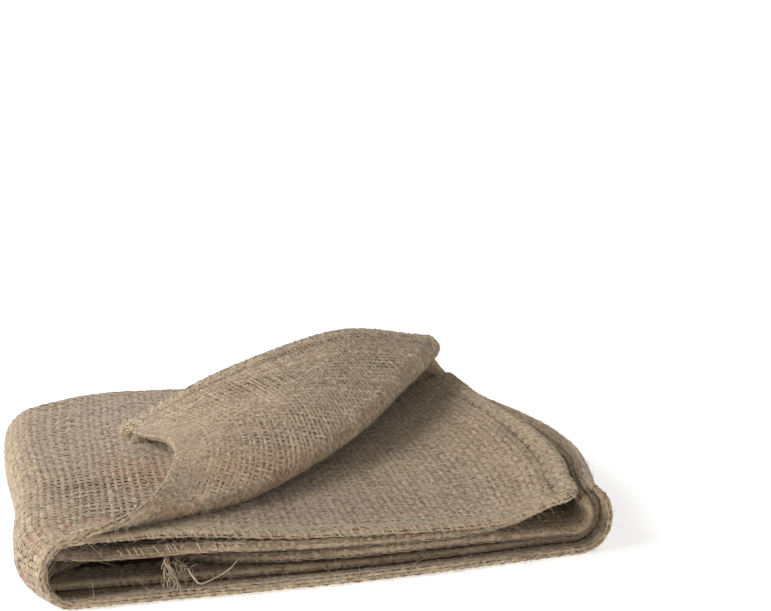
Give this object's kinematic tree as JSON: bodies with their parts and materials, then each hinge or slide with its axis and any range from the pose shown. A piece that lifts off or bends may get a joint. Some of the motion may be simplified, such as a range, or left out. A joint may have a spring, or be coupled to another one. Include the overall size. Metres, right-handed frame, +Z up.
{
  "type": "folded jute sack",
  "caption": "Plain open-weave jute sack, folded flat into a soft bundle, with its mouth and bottom seam at the front and a mouth corner turned back over the top.",
  "frame": {"origin": "on the surface that the bundle lies on, under the middle of its bounding box", "axes": "+X along the front edge towards the sewn side, +Y to the back fold, +Z up"},
  "size_m": [0.3208, 0.2708, 0.0781],
  "materials": {
    "jute": "coarse plain weave of undyed jute yarn, matt and hairy"
  },
  "bodies": {
    "root": {"sack": "jute"}
  },
  "joints": []
}
